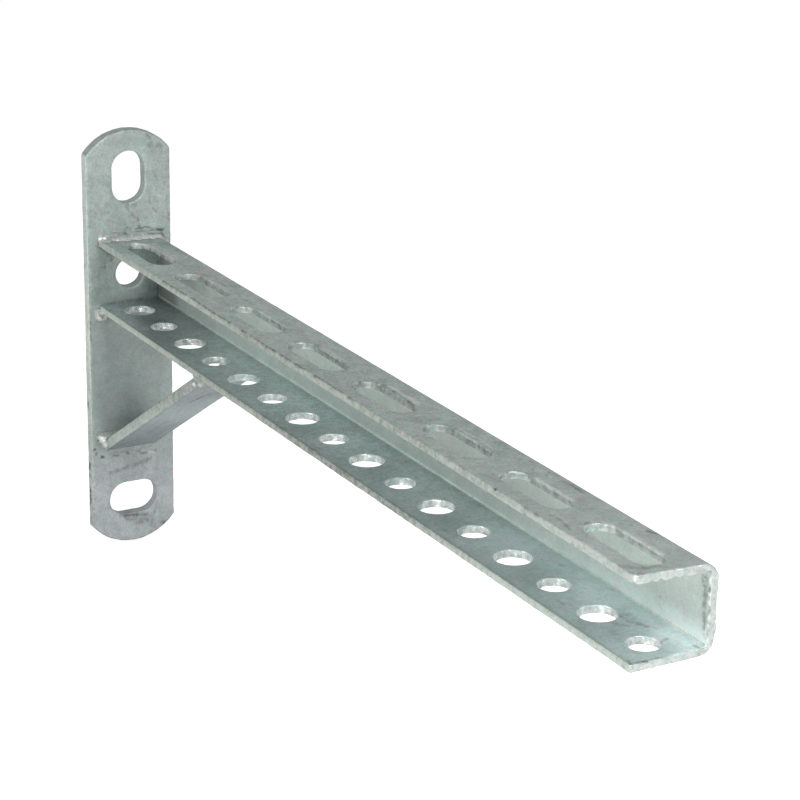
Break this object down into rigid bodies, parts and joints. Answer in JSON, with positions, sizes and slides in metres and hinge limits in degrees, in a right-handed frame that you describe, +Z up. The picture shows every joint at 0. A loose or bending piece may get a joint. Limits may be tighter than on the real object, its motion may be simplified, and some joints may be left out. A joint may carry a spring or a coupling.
{
  "type": "cantilever strut arm",
  "caption": "Galvanised steel cantilever arm: a slotted wall plate carries a channel punched in both flanges, propped by a welded flat bar brace.",
  "frame": {"origin": "middle of the wall plate's back face", "axes": "+X runs out along the arm, away from the wall; +Z is up; +Y runs from the channel's open side to its web"},
  "size_m": [0.405, 0.0386, 0.186],
  "materials": {
    "plate_zinc": "matt mottled hot-dip zinc, blue-grey",
    "channel_zinc": "matt mottled hot-dip zinc, pale green-grey, brighter at cut edges",
    "brace_zinc": "matt hot-dip zinc, warm grey with faint run marks",
    "weld_zinc": "rippled weld metal under hot-dip zinc"
  },
  "bodies": {
    "root": {"wall_plate": "plate_zinc", "arm_channel": "channel_zinc", "brace_bar": "brace_zinc", "weld_arm_top": "weld_zinc", "weld_arm_web": "weld_zinc", "weld_arm_bottom": "weld_zinc", "weld_brace_foot_upper": "weld_zinc", "weld_brace_foot_lower": "weld_zinc", "weld_brace_head": "weld_zinc"}
  },
  "joints": []
}
